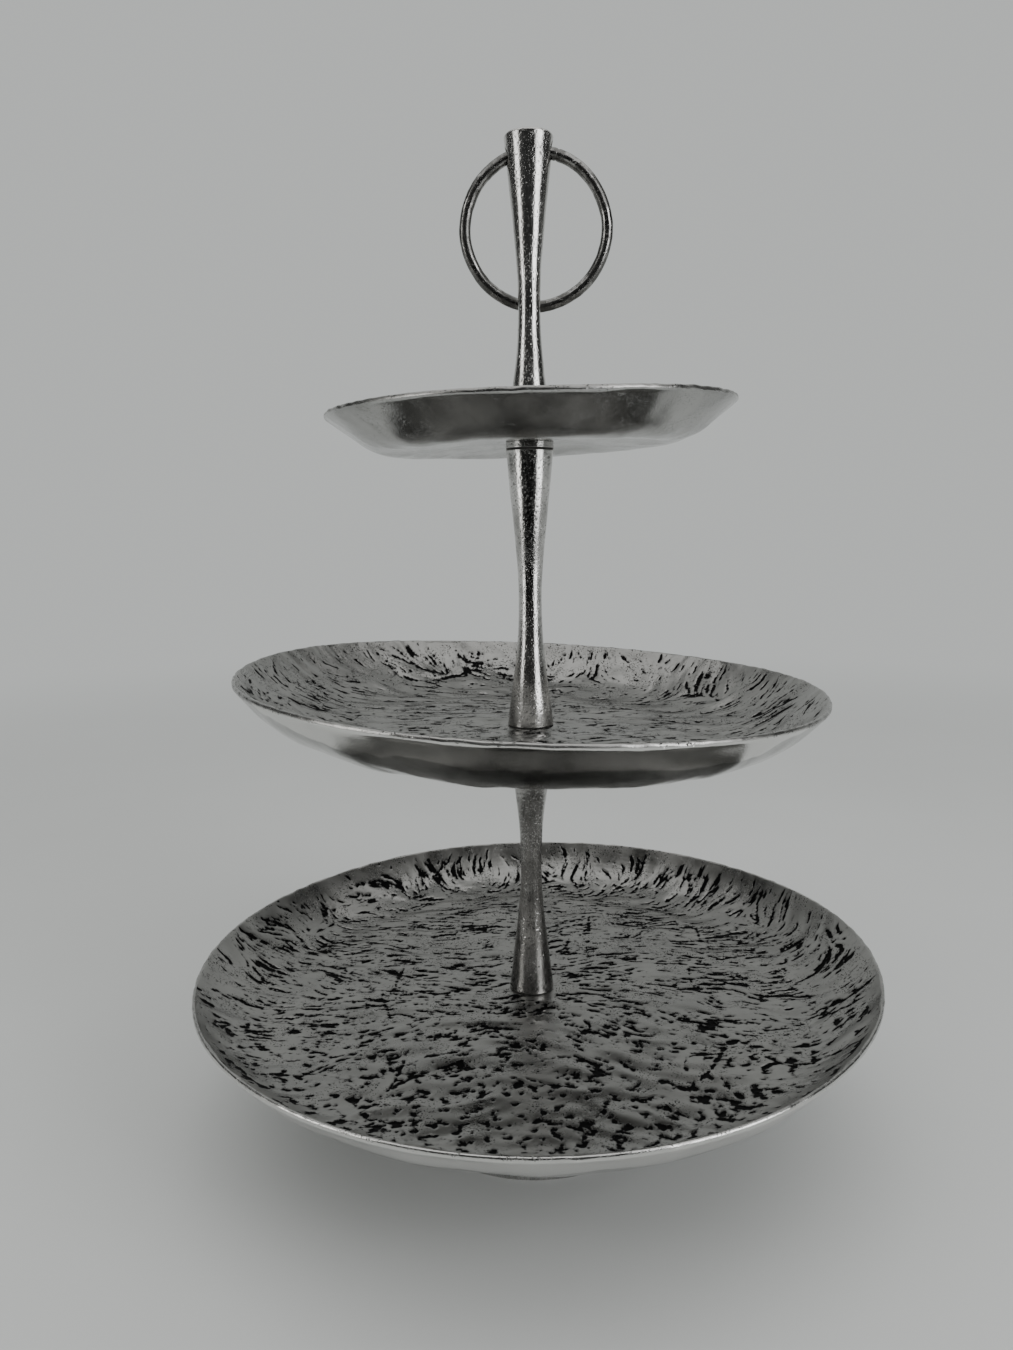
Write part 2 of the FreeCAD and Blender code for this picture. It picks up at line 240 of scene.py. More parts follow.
def cast_skin(points, seed, fine_depth, wave_depth, outside):
    """Moves the outside of a turned form in and out: broad hand-finished waves, and fine casting grain.
    Gives the moved points and how deep the grain is at each."""
    step = 0.25
    size_a, size_z = 256, 640
    rng = np.random.default_rng(seed)
    shape = (size_z, size_a)
    grain = speckle(rng, shape, step, step, 0.30, 0.9)
    waves = speckle(rng, shape, step, step, 4.0, 14.0)
    turn = np.arctan2(points[:, 1], points[:, 0]) / (2 * math.pi) % 1.0
    u, v = turn * size_a, (points[:, 2] / step) % size_z
    i, j = u.astype(int), v.astype(int)
    a, b = u - i, v - j

    def read(values):
        left, right = i % size_a, (i + 1) % size_a
        below, above = j % size_z, (j + 1) % size_z
        low = values[below, left] * (1 - a) + values[below, right] * a
        high = values[above, left] * (1 - a) + values[above, right] * a
        return low * (1 - b) + high * b

    pits = -np.clip(read(grain) - 0.9, 0.0, 1.5)
    shift = (pits * fine_depth + read(waves) * wave_depth) * outside
    radius = np.maximum(np.hypot(points[:, 0], points[:, 1]), 1e-6)
    moved = points.copy()
    moved[:, 0] += points[:, 0] / radius * shift
    moved[:, 1] += points[:, 1] / radius * shift
    return moved, -pits * outside


# --- dishes --------------------------------------------------------------------------------------------


def ring_grid(outer, inner):
    """An even grid between two square rings, to be bent round. Gives each point's ring number and angle, the
    quads, and the inner and outer loops in order of angle."""
    line = np.arange(-outer, outer + 1)
    a, b = np.meshgrid(line, line)
    ring = np.maximum(np.abs(a), np.abs(b))
    safe = np.where(ring == 0, 1, ring)
    steep = np.abs(b) > np.abs(a)
    angle = np.where(
        steep,
        math.pi / 2 - math.pi / 4 * a / safe * np.sign(b) + np.where(b < 0, math.pi, 0.0),
        math.pi / 4 * b / safe * np.sign(a) + np.where(a < 0, math.pi, 0.0),
    )
    angle = angle % (2 * math.pi)
    keep = ring >= inner
    number = np.full(ring.shape, -1)
    number[keep] = np.arange(keep.sum())
    whole = keep[:-1, :-1] & keep[1:, :-1] & keep[:-1, 1:] & keep[1:, 1:]
    corners = (number[:-1, :-1], number[:-1, 1:], number[1:, 1:], number[1:, :-1])
    quads = np.stack([c[whole] for c in corners], axis=1)
    loops = []
    for wanted in (inner, outer):
        chosen = ring == wanted
        loops.append(number[chosen][np.argsort(angle[chosen])])
    return ring[keep], angle[keep], quads, loops


def along(profile, distance):
    """Radius and height at a distance along an outline."""
    steps = np.hypot(*np.diff(profile, axis=0).T)
    total = np.concatenate(([0.0], np.cumsum(steps)))
    return np.interp(distance, total, profile[:, 0]), np.interp(distance, total, profile[:, 1])


def dish_side(dish, top):
    """The outline of a dish's inside or its underside, from its bore out to the rim, in its own frame."""
    half, rim = FLOOR_THICKNESS / 2, LIP_THICKNESS
    radius, rise, dome = dish["radius"], dish["rise"], dish["dome"]
    bend = dish["bend"][0 if top else 1]
    corner = radius - dish["run"]
    if top:
        foot_of_wall, level, lip = corner - half / 2, half, (radius - rim * 0.85, rise - 0.1)
    else:
        foot_of_wall, level, lip = corner, -half, (radius, rise - rim)
    floor = [(r, level - dome * (r / foot_of_wall) ** 2) for r in np.linspace(BORE, foot_of_wall, 60)]
    bent = rounded_corner(floor[-2], floor[-1], lip, bend, 14)
    flat = [p for p in floor if p[0] < bent[0][0] - 0.2]
    return np.array(flat + bent + [lip])


def flow_of(chart, dish):
    """The way the casting's wrinkles run: across the middle, and turning to follow the wall outwards."""
    swirl = chart.noise(22.0, 70.0) * dish["swirl"] + chart.noise(5.0, 14.0) * 0.16
    radial = np.arctan2(chart.y, chart.x) + 0.35 + chart.noise(8.0, 30.0) * 0.60
    pull = 0.85 * smoothstep(0.66, 0.98, chart.r / dish["radius"])
    across = (1 - pull) * np.cos(2 * swirl) + pull * np.cos(2 * radial)
    upward = (1 - pull) * np.sin(2 * swirl) + pull * np.sin(2 * radial)
    return 0.5 * np.arctan2(upward, across)


def scratch_marks(chart, dish):
    """How close each place is to a long dark scratch."""
    near = np.zeros_like(chart.x)
    for _ in range(dish["scratches"]):
        middle = chart.rng.uniform(-0.65, 0.65, 2) * dish["radius"]
        heading = chart.rng.uniform(0, math.pi)
        length = chart.rng.uniform(12.0, 34.0)
        bow = chart.rng.uniform(-0.006, 0.006)
        dx, dy = chart.x - middle[0], chart.y - middle[1]
        forward = dx * math.cos(heading) + dy * math.sin(heading)
        aside = dy * math.cos(heading) - dx * math.sin(heading) - bow * forward**2
        near = np.maximum(near, np.exp(-((aside / 0.7) ** 2)) * (np.abs(forward) < length / 2))
    return near


def dish_relief(dish):
    """The map of a dish's inside: how far each place is into a pit, and the height of the metal there."""
    chart = Map(dish["radius"] + 6, 0.55, dish["seed"])
    angle = flow_of(chart, dish)
    dashes = chart.combed(chart.noise(0.40, 1.1), angle, 7.0)
    broken = chart.combed(chart.noise(0.8, 2.4), angle, 11.0)
    ripples = chart.combed(chart.noise(2.2, 7.0), angle, 24.0)
    ragged = chart.noise(0.45, 1.5)
    clusters = chart.noise(4.0, 18.0)
    blots = chart.noise(1.3, 4.0)
    front = smoothstep(0.10, -0.75, chart.y / dish["radius"]) * dish["blotchy"]
    folds = chart.noise(7.0, 24.0)
    creases = np.exp(-((folds / 0.075) ** 2)) * smoothstep(-0.1, 1.0, chart.noise(5.0, 16.0))
    streaky = dashes + 0.85 * broken + 0.35 * ripples
    strength = (1 - 0.55 * front) * streaky + (0.35 + 0.85 * front) * blots + 0.55 * ragged + 0.55 * clusters
    inside = chart.r < dish["radius"]
    edge = np.quantile(strength[inside], 1.0 - dish["pitted"])
    pit = strength - edge + 3.0 * scratch_marks(chart, dish) + 1.9 * creases
    pit -= 2.5 * smoothstep(0.955, 1.0, chart.r / dish["radius"])
    pit -= 3.0 * smoothstep(SEAT_RADIUS + 3, SEAT_RADIUS, chart.r)
    height = dish["ripple"] * -ripples - dish["depth"] * smoothstep(-0.2, 1.3, pit)
    height += dish["dents"] * chart.noise(6.0, 20.0)
    return chart, pit, height


def shaped(dish, radius, height, angle):
    """Places a dish's points: out of true at the rim, out of level, and level where the stems clamp it."""
    out = smoothstep(0.35, 1.0, radius / dish["radius"])
    wave = sum(size * np.sin(turns * angle + phase) for turns, size, phase in dish["waves"])
    radius = radius + 0.5 * wave * out
    height = height + wave * out
    x, y = radius * np.cos(angle), radius * np.sin(angle)
    tilt = math.radians(dish["tilt"])
    middle = dish["seat_level"] + dish["seat"] / 2
    turned_x = x * math.cos(tilt) + height * math.sin(tilt) + dish["offset"]
    turned_z = height * math.cos(tilt) - x * math.sin(tilt) + middle
    return turned_x, y, turned_z


def level_seat(dish, x, y, z, seat_level, bore_x, bore_y):
    """Draws a surface to the level clamping face around the axis, and its innermost loop to the bore."""
    reach = np.hypot(x, y)
    hold = 1.0 - smoothstep(SEAT_RADIUS + 0.3, SEAT_RADIUS + SEAT_FADE, reach)
    centred = 1.0 - smoothstep(BORE + 1.0, SEAT_RADIUS, reach)
    x = x * (1 - centred) + bore_x * centred
    y = y * (1 - centred) + bore_y * centred
    return x, y, z * (1 - hold) + seat_level * hold


def dish_surface(dish, top, rings, relief):
    """One side of a dish as points, quads, its loops, and how far each point is into a pit."""
    profile = dish_side(dish, top)
    length = float(np.hypot(*np.diff(profile, axis=0).T).sum())
    inner = 6
    ring, angle, quads, loops = ring_grid(rings, inner)
    radius, height = along(profile, (ring - inner) / (rings - inner) * length)
    chart, pit, bumps = relief
    x, y = radius * np.cos(angle), radius * np.sin(angle)
    calm_middle = smoothstep(SEAT_RADIUS, SEAT_RADIUS + SEAT_FADE, radius)
    calm_rim = 1 - smoothstep(0.985, 1.0, radius / dish["radius"])
    height = height + chart.read(bumps, x, y) * calm_middle * calm_rim
    depth = chart.read(pit, x, y) if pit is not None else np.full(len(x), NO_PIT)
    px, py, pz = shaped(dish, radius, height, angle)
    level = dish["seat_level"] + (dish["seat"] if top else 0.0)
    px, py, pz = level_seat(dish, px, py, pz, level, x, y)
    return np.stack((px, py, pz), axis=1), quads, loops, depth


def rim_rows(dish, angle):
    """Rows of points round the lip, from the inside edge over the top to the outside edge."""
    radius, rise = dish["radius"], dish["rise"]
    lip = [(radius - 1.20, rise + 0.05), (radius - 0.80, rise + 0.08), (radius - 0.40, rise - 0.05),
           (radius - 0.12, rise - 0.45), (radius, rise - 1.0)]
    rng = np.random.default_rng(dish["seed"] + 50)
    bent = speckle(rng, (4, len(angle)), 0.8, 0.8, 3.0, 12.0)[0] * 0.06
    rows = []
    for r, z in lip:
        x, y, z = shaped(dish, np.full(len(angle), r) + bent, np.full(len(angle), z) + bent, angle)
        rows.append(np.stack((x, y, z), axis=1))
    return rows


def height_up_wall(dish, points):
    """How far up its wall each point of a placed dish is, from 0 at the floor to 1 at the lip."""
    middle = dish["seat_level"] + dish["seat"] / 2
    sideways = (points[:, 0] - dish["offset"]) * math.sin(math.radians(dish["tilt"]))
    return (points[:, 2] - middle + sideways) / dish["rise"]


def make_dish(name, dish, material, body):
    """A dish as one closed skin: pitted inside, rounded lip, hand-beaten outside, and a bore through its
    seat. Its outside has half as many rings as its inside."""
    fine = dish["rings"]
    chart, pit, bumps = dish_relief(dish)
    top_points, top_quads, (top_bore, top_rim), top_pit = dish_surface(dish, True, fine, (chart, pit, bumps))
    beaten = Map(dish["radius"] + 6, 1.0, dish["seed"] + 9)
    hammer = (beaten.noise(3.0, 9.0) * 0.35 + beaten.noise(9.0, 28.0) * 1.1) * dish["beaten"]
    low_points, low_quads, (low_bore, low_rim), low_pit = dish_surface(
        dish, False, fine // 2, (beaten, None, hammer)
    )
    around = 8 * fine
    angle = np.arange(around) * 2 * math.pi / around
    lip = rim_rows(dish, angle)
    points = np.vstack([top_points] + lip + [low_points])

    lip_start = len(top_points)
    low_start = lip_start + len(lip) * around
    loops = [top_rim] + [lip_start + k * around + np.arange(around) for k in range(len(lip))]
    bore, low_bore = top_bore, low_bore + low_start
    faces = top_quads.tolist() + (low_quads + low_start).tolist()
    for one, two in zip(loops, loops[1:]):
        faces += np.stack((one, np.roll(one, -1), np.roll(two, -1), two), axis=1).tolist()
    faces += stitched(loops[-1], low_rim + low_start)
    faces += np.stack((bore, low_bore, np.roll(low_bore, -1), np.roll(bore, -1)), axis=1).tolist()

    # What the metal reads at each point: how far into a pit it is, how much of the inside's finish it has,
    # and how high up the front of the wall it is, which places a painted reflection there.
    lip_inside = np.repeat(np.linspace(0.95, dish["lip"], len(lip)), around)
    inside = np.concatenate((np.ones(lip_start), lip_inside, np.full(len(low_points), dish["dull"])))
    no_pit = np.full(len(lip) * around, NO_PIT)
    front = smoothstep(-0.35, -0.80, points[:, 1] / dish["radius"])
    values = {
        "pit": np.concatenate((top_pit, no_pit, low_pit)),
        "inside": inside,
        "upper": height_up_wall(dish, points) * dish["pale"] * front,
    }
    return make_piece(name + "_cast", points, faces, material, body, name, values)


def stitched(fine, coarse):
    """Faces between a loop and another with half as many points."""
    faces = []
    count = len(coarse)
    for k in range(count):
        a, b = int(coarse[k]), int(coarse[(k + 1) % count])
        f0, f1, f2 = int(fine[2 * k]), int(fine[2 * k + 1]), int(fine[(2 * k + 2) % len(fine)])
        faces += [[a, f0, f1], [a, f1, b], [b, f1, f2]]
    return faces


# --- stems, collars, foot and ring ---------------------------------------------------------------------


def tapped(level, way):
    """A blind tapped hole in a stem's end, from its mouth in to its point."""
    chamfer = 0.6
    wall = [(TAP + chamfer, level), (TAP, level + way * chamfer), (TAP, level + way * TAP_DEPTH)]
    return wall, (0.0, level + way * TAP_POINT)


def stem_flank(stem, edge):
    """A stem's outside between its ends: two cones running into a long arc at the waist."""
    length, waist, waist_height, curve = stem["length"], stem["waist"], stem["waist_height"], 240.0
    centre = waist + curve
    flank = []
    for height in np.linspace(1.5, length - edge * 1.4 - 0.4, 60):
        end_height = 0.0 if height < waist_height else length
        reach = math.hypot(centre - SEAT_RADIUS, waist_height - end_height)
        lean = math.asin(curve / reach)
        slope = math.atan2(abs(waist_height - end_height), centre - SEAT_RADIUS) + lean - math.pi / 2
        touch = curve * math.sin(slope)
        away = abs(height - waist_height)
        if away < touch:
            radius = centre - math.sqrt(curve**2 - away**2)
        else:
            radius = centre - curve * math.cos(slope) + (away - touch) * math.tan(slope)
        flank.append((min(radius, SEAT_RADIUS), height))
    return flank


def make_stem(node, stem, material, body, capped=False):
    """A waisted stem with cast grain, standing at the foot of its CAD node. A capped one has a plain top
    instead of a tapped hole."""
    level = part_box(node)[0][2] / MM
    length = stem["length"]
    low_hole, low_point = tapped(0.0, 1.0)
    edge = 1.2 if capped else 0.6
    corners = [low_point] + low_hole[::-1] + [(SEAT_RADIUS, 0.0, 0.6)]
    corners += stem_flank(stem, edge) + [(SEAT_RADIUS, length, edge)]
    if capped:
        corners += [(6.0, length + 0.05), (0.0, length + 0.08)]
    else:
        high_hole, high_point = tapped(length, -1.0)
        corners += high_hole + [high_point]
    points, faces = lathe(resampled(outline(corners), 0.5), 132, closed=False)
    radius = np.hypot(points[:, 0], points[:, 1])
    from_low, from_high = points[:, 2], length - points[:, 2]
    outside = smoothstep(3.6, 4.4, radius) * smoothstep(0.3, 2.5, from_low)
    nearest_end = from_low
    if not capped:
        outside = outside * smoothstep(0.3, 2.5, from_high)
        nearest_end = np.minimum(from_low, from_high)
    # Painted shade, partly tarnish: a dark line at each end where the stem meets the next part.
    joint = smoothstep(0.75, 0.25, nearest_end) * (radius > 8.0)
    points, grain = cast_skin(points, stem["seed"], 0.035, 0.045, outside)
    grain = grain + JOINT_TARNISH_AND_SHADE * joint
    points[:, 2] += level
    return make_piece(node + "_cast", points, faces, material, body, node, {"grain": grain})


def drill(piece, point, along_axis, radius, mouth):
    """Cuts a slanting hole right through a piece. Its mouths are wider by the share given."""
    reach, eased_from, eased_to = 26.0, 8.0, 13.0
    profile = [(0.0, -reach), (radius, -reach), (radius, reach), (0.0, reach)]
    points, faces = lathe(resampled(profile, 4.0), 64, closed=False)
    distance = np.abs(points[:, 2])
    ease = 1.0 + mouth * smoothstep(eased_from, eased_to, distance)
    points[:, :2] *= ease[:, None]
    turn = np.array(Vector((0, 0, 1)).rotation_difference(Vector(along_axis)).to_matrix())
    mesh = bpy.data.meshes.new("drill")
    mesh.from_pydata(((points @ turn.T + point) * MM).tolist(), [], faces)
    outwards(mesh)
    tool = bpy.data.objects.new("drill", mesh)
    bpy.context.scene.collection.objects.link(tool)
    cut = piece.modifiers.new("hole", "BOOLEAN")
    cut.operation = "DIFFERENCE"
    cut.solver = "EXACT"
    cut.object = tool
    result = bpy.data.meshes.new_from_object(piece.evaluated_get(bpy.context.evaluated_depsgraph_get()))
    piece.modifiers.remove(cut)
    piece.data = result
    bpy.data.objects.remove(tool)


def make_collar(node, material, body, seed):
    """A spacer disc with broken edges and a dark joint line under it, partly tarnish and partly painted
    shade.
    """
    low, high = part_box(node)
    bottom, height = low[2] / MM, (high[2] - low[2]) / MM
    corners = [(BORE, 0.0), (SEAT_RADIUS, 0.0, 0.5), (SEAT_RADIUS, height, 0.25), (BORE, height), (BORE, 0.0)]
    profile = resampled(outline(corners), 0.4)[:-1]
    points, faces = lathe(profile, 132, closed=True)
    outside = smoothstep(8.0, 10.0, np.hypot(points[:, 0], points[:, 1]))
    # Painted shade, partly tarnish: a dark line at the foot of the collar where it meets the stem.
    joint = smoothstep(0.75, 0.25, points[:, 2]) * outside
    points, grain = cast_skin(points, seed, 0.03, 0.015, outside)
    grain = grain + JOINT_TARNISH_AND_SHADE * joint
    points[:, 2] += bottom
    name = node + "_turned"
    return make_piece(name, points, faces, material, body, node, {"grain": grain})


def foot_outline():
    """The trumpet foot's outline: a concave flare outside, an arched hollow underneath, and a flat ring to
    stand on."""
    flare_radius, flare_centre = 54.0, (64.72, 56.80)
    flare_start, flare_turn = math.radians(93.0), math.radians(85.0)
    hollow_radius, hollow_centre = 66.0, (63.1, 67.1)
    hollow_top, hollow_start = 26.0, 11.5
    steps = 24
    flare = []
    hollow = []
    for k in range(steps + 1):
        turn = flare_start + flare_turn * k / steps - math.pi / 2
        r = max(flare_centre[0] - flare_radius * math.cos(turn), SEAT_RADIUS)
        z = flare_centre[1] - flare_radius * math.sin(turn)
        if FOOT["edge"] + 0.2 < z < FOOT["height"] - 1.1 and r < FOOT["radius"] - 1.0:
            flare.append((r, z))
        r = hollow_start + (FOOT["stand_inside"] - hollow_start) * k / steps
        drop = math.sqrt(hollow_radius**2 - (r - hollow_centre[0]) ** 2)
        hollow.append((r, hollow_centre[1] - drop))
    flare.sort(key=lambda point: point[1])
    corners = [(BORE, hollow_top)] + hollow + [(FOOT["stand_inside"], 0.0), (FOOT["radius"], 0.0, 0.5)]
    corners += [(FOOT["radius"], FOOT["edge"], 1.0)] + flare
    corners += [(SEAT_RADIUS, FOOT["height"]), (BORE, FOOT["height"]), (BORE, hollow_top)]
    return outline(corners)


def make_foot(material):
    """The trumpet foot, with cast grain outside and a fettled edge."""
    points, faces = lathe(resampled(foot_outline(), 0.9)[:-1], 240, closed=True)
    height = points[:, 2]
    outside = smoothstep(10.0, 10.7, np.hypot(points[:, 0], points[:, 1]))
    from_top = FOOT["height"] - height
    outside = outside * smoothstep(0.6, 2.5, height) * smoothstep(0.2, 3.6, from_top)
    points, grain = cast_skin(points, FOOT["seed"], 0.08, 0.16, outside)
    return make_piece("foot_cast", points, faces, material, "base", "foot", {"grain": grain})


def ring_hinge():
    """Where the ring's hinge is, in mm, and the way it points."""
    joint = next(j for j in frame["record"]["behaviour"]["joints"] if j["name"] == "ring_swing")
    return Vector(joint["pos_m"]) / MM, joint["axis"]


def make_ring(material):
    """The carrying ring: a bent rod, a little uneven, its two ends soldered together."""
    radius, wire = RING["radius"], RING["wire"]
    slant, lean = math.radians(RING["slant"]), math.radians(RING["lean"])
    around = Vector((math.cos(slant), 0.0, math.sin(slant)))
    down = Vector((math.sin(slant), 0.0, -math.cos(slant)))
    hang = down * math.cos(lean) + Vector((0.0, math.sin(lean), 0.0))
    normal = around.cross(hang)
    centre = ring_hinge()[0] + hang * RING["hang"]
    turns, sides = 360, 28
    step = 0.55
    bend_size, ding_size, facet_size = 0.10, 0.03, 0.012
    groove_depth, groove_width = 0.40, 0.5
    solder_height, solder_width = 0.14, 2.2
    rng = np.random.default_rng(RING["seed"])
    bends = speckle(rng, (8, turns), step, step, 5.0, 22.0)[0]
    dings = speckle(rng, (sides, turns), step, step, 0.8, 3.0)
    seam = math.radians(RING["seam"])
    in_hole = math.pi / 2
    points, faces = [], []
    for i in range(turns):
        turn = 2 * math.pi * i / turns
        spread = around * math.cos(turn) - hang * math.sin(turn)
        from_seam = (turn - seam + math.pi) % (2 * math.pi) - math.pi
        groove = groove_depth * math.exp(-((from_seam * radius / groove_width) ** 2))
        solder = solder_height * math.exp(-((from_seam * radius / solder_width) ** 2))
        calm = smoothstep(0.0, 0.5, abs(turn - in_hole) if turn < math.pi else 1.0)
        bent = bend_size * bends[i] * calm
        for j in range(sides):
            side = 2 * math.pi * j / sides
            facet = 1.0 - facet_size * math.cos(7 * side + turn)
            thick = wire * facet + ding_size * dings[j, i] * calm + solder - groove
            across = spread * math.cos(side) + normal * math.sin(side)
            points.append(centre + spread * (radius + bent) + across * thick)
            after, beside = (i + 1) % turns, (j + 1) % sides
            faces.append([i * sides + j, after * sides + j, after * sides + beside, i * sides + beside])
    points = np.array([tuple(p) for p in points])
    return make_piece("carrying_ring_wire", points, faces, material, "ring", "carrying_ring")


# --- materials -----------------------------------------------------------------------------------------


class Shader:
    """A material's nodes, made by name and linked as they are made."""

    def __init__(self, name):
        self.material = bpy.data.materials.new(name)
        self.material.use_nodes = True
        self.tree = self.material.node_tree
        self.surface = next(n for n in self.tree.nodes if n.type == "BSDF_PRINCIPLED")

    def put(self, socket, value):
        """Links a socket to another node's output, or sets its own number or colour."""
        if isinstance(value, bpy.types.NodeSocket):
            self.tree.links.new(value, socket)
        else:
            socket.default_value = value

    def node(self, kind, settings=None, **inputs):
        """A new node with its settings made and its sockets filled."""
        made = self.tree.nodes.new(kind)
        for key, value in (settings or {}).items():
            setattr(made, key, value)
        for key, value in inputs.items():
            self.put(made.inputs[key], value)
        return made

    def place(self):
        """The place on the piece, in metres."""
        return self.node("ShaderNodeTexCoord").outputs["Object"]

    def value(self, name):
        """A value that the mesh carries at its points."""
        return self.node("ShaderNodeAttribute", {"attribute_name": name}).outputs["Fac"]

    def noise(self, scale, detail=2.0, roughness=0.5, vector=None):
        """Cloudy noise, mostly between 0.3 and 0.7."""
        made = self.node("ShaderNodeTexNoise", Scale=scale, Detail=detail, Roughness=roughness)
        self.put(made.inputs["Vector"], vector or self.place())
        return made.outputs["Fac"]

    def stretched(self, x, y, z):
        """The place scaled along each axis, so that noise read there draws out into streaks."""
        made = self.node("ShaderNodeMapping")
        self.put(made.inputs["Vector"], self.place())
        made.inputs["Scale"].default_value = (x, y, z)
        return made.outputs["Vector"]

    def math(self, operation, a, b=0.0, c=0.0):
        """A sum worked out by one math node."""
        made = self.tree.nodes.new("ShaderNodeMath")
        made.operation = operation
        for socket, value in zip(made.inputs, (a, b, c)):
            self.put(socket, value)
        return made.outputs[0]

    def ramp(self, value, low, high, from_low=0.0, from_high=1.0):
        """A smooth change from one number to another as value crosses a range."""
        made = self.node("ShaderNodeMapRange", {"interpolation_type": "SMOOTHSTEP"})
        for key, number in zip(("Value", "From Min", "From Max", "To Min", "To Max"),
                               (value, from_low, from_high, low, high)):
            self.put(made.inputs[key], number)
        return made.outputs["Result"]

    def blend(self, factor, one, two):
        """Mixes two colours."""
        made = self.tree.nodes.new("ShaderNodeMix")
        made.data_type = "RGBA"
        self.put(made.inputs[0], factor)
        for socket, colour in ((made.inputs[6], one), (made.inputs[7], two)):
            self.put(socket, (*colour, 1.0) if isinstance(colour, tuple) else colour)
        return made.outputs[2]

    def bump(self, height, distance, strength=1.0, under=None):
        """Fine relief from a height, its distance in metres, laid over another relief if one is given."""
        made = self.node("ShaderNodeBump", Height=height, Distance=distance, Strength=strength)
        if under is not None:
            self.put(made.inputs["Normal"], under)
        return made.outputs["Normal"]

    def finish(self, colour, metallic, roughness, normal):
        """Fills the surface's own sockets and gives the finished material."""
        looks = {"Base Color": colour, "Metallic": metallic, "Roughness": roughness, "Normal": normal}
        for key, value in looks.items():
            self.put(self.surface.inputs[key], value)
        return self.material


def dish_metal():
    """Cast aluminium: satin and darkly pitted inside, smoother and patchily tarnished outside, and with a
    painted
    reflection: a pale, uneven stripe below the lip down the front of the outside."""
    s = Shader("dish_cast_metal")
    pit, inside = s.value("pit"), s.value("inside")
    outside = s.math("SUBTRACT", 1.0, inside)

    ragged = s.math("MULTIPLY_ADD", s.noise(900.0, 4.0, 0.65), 2.6, -1.3)
    flecks = s.math("MULTIPLY_ADD", s.noise(2500.0, 2.0, 0.6), 1.4, -0.7)
    into_pit = s.math("ADD", pit, s.math("ADD", ragged, flecks))
    specks = s.math("MULTIPLY", s.ramp(s.noise(1300.0, 1.5), 0.0, 1.0, 0.60, 0.65),
                    s.ramp(s.noise(90.0, 2.0), 0.0, 1.0, 0.46, 0.58))
    black = s.math("MAXIMUM", s.ramp(into_pit, 0.0, 1.0, -0.10, 0.32), specks)
    black = s.math("MULTIPLY", black, inside)
    shadowed = s.math("MULTIPLY", s.ramp(into_pit, 0.0, 0.55, -1.5, 0.3), inside)

    cloud = s.noise(38.0, 4.0, 0.6)
    clouded = s.ramp(cloud, 0.0, 1.0, 0.3, 0.7)
    worn = s.blend(clouded, (0.245, 0.242, 0.233), (0.35, 0.346, 0.332))
    bright = s.blend(clouded, (0.33, 0.33, 0.322), (0.47, 0.47, 0.459))
    tarnish = s.ramp(s.noise(26.0, 5.0, 0.62), 0.0, 1.0, 0.52, 0.55)
    bright = s.blend(s.math("MULTIPLY", tarnish, 0.40), bright, (0.24, 0.238, 0.23))
    # Painted reflection: a pale stripe down the front of the outside wall, standing in for the table it
    # mirrors.
    wavy = s.math("MULTIPLY_ADD", s.noise(55.0, 4.0, 0.6), 0.5, -0.25)
    painted_reflection_band = s.ramp(s.math("ADD", s.value("upper"), wavy), 0.0, 1.0, 0.48, 0.54)
    bright = s.blend(painted_reflection_band, bright, (0.70, 0.695, 0.675))
    metal = s.blend(inside, bright, worn)
    metal = s.blend(shadowed, metal, (0.12, 0.118, 0.115))
    colour = s.blend(black, metal, (0.009, 0.009, 0.009))

    streaks = s.noise(1.0, 3.0, 0.6, s.stretched(120.0, 120.0, 700.0))
    smooth = s.ramp(streaks, 0.035, 0.085, 0.3, 0.7)
    satin = s.ramp(cloud, 0.24, 0.40, 0.3, 0.7)
    rough = s.math("ADD", s.math("MULTIPLY", inside, satin), s.math("MULTIPLY", outside, smooth))
    rough = s.math("MAXIMUM", rough, s.math("MULTIPLY", black, 0.75))

    pitted = s.bump(s.math("MULTIPLY", black, -1.0), 0.00045)
    grained = s.bump(s.noise(1400.0, 4.0, 0.65), 0.00006, 1.0, pitted)
    return s.finish(colour, 1.0, rough, grained)


def stem_metal(name, low, high, rough_low, rough_high):
    """Polished cast metal with fine pinholes and a little tarnish in them."""
    s = Shader(name)
    grain = s.value("grain")
    pinholes = s.ramp(s.noise(1500.0, 3.0, 0.7), 0.0, 1.0, 0.60, 0.72)
    tarnish = s.ramp(s.noise(90.0, 4.0, 0.6), 0.0, 1.0, 0.42, 0.66)
    # The grain value also carries the dark joint lines, which are partly painted shade.
    held = s.math("MINIMUM", s.math("MULTIPLY_ADD", grain, 0.55, s.math("MULTIPLY", pinholes, tarnish)), 1.0)
    cloud = s.noise(60.0, 3.0, 0.6)
    metal = s.blend(s.ramp(cloud, 0.0, 1.0, 0.35, 0.65), low, high)
    colour = s.blend(s.math("MULTIPLY", held, 0.85), metal, (0.045, 0.043, 0.040))
    brushed = s.noise(1.0, 3.0, 0.6, s.stretched(1500.0, 1500.0, 120.0))
    rough = s.math("ADD", s.ramp(brushed, rough_low, rough_high, 0.3, 0.7), s.math("MULTIPLY", held, 0.35))
    normal = s.bump(s.math("MULTIPLY", held, -1.0), 0.00008)
    normal = s.bump(s.noise(1300.0, 4.0, 0.7), 0.000022, 1.0, normal)
    return s.finish(colour, 1.0, rough, normal)


def rod_metal():
    """Drawn rod gone dull, with rubbed patches."""
    s = Shader("ring_rod_metal")
    rubbed = s.ramp(s.noise(140.0, 4.0, 0.65), 0.0, 1.0, 0.45, 0.62)
    colour = s.blend(rubbed, (0.13, 0.128, 0.122), (0.30, 0.295, 0.285))
    nicks = s.ramp(s.noise(900.0, 3.0, 0.7), 0.0, 1.0, 0.60, 0.70)
    colour = s.blend(s.math("MULTIPLY", nicks, 0.7), colour, (0.05, 0.048, 0.045))
    rough = s.ramp(rubbed, 0.32, 0.19)
    normal = s.bump(s.math("MULTIPLY", nicks, -1.0), 0.00006)
    return s.finish(colour, 1.0, rough, s.bump(s.noise(500.0, 3.0), 0.00005, 1.0, normal))


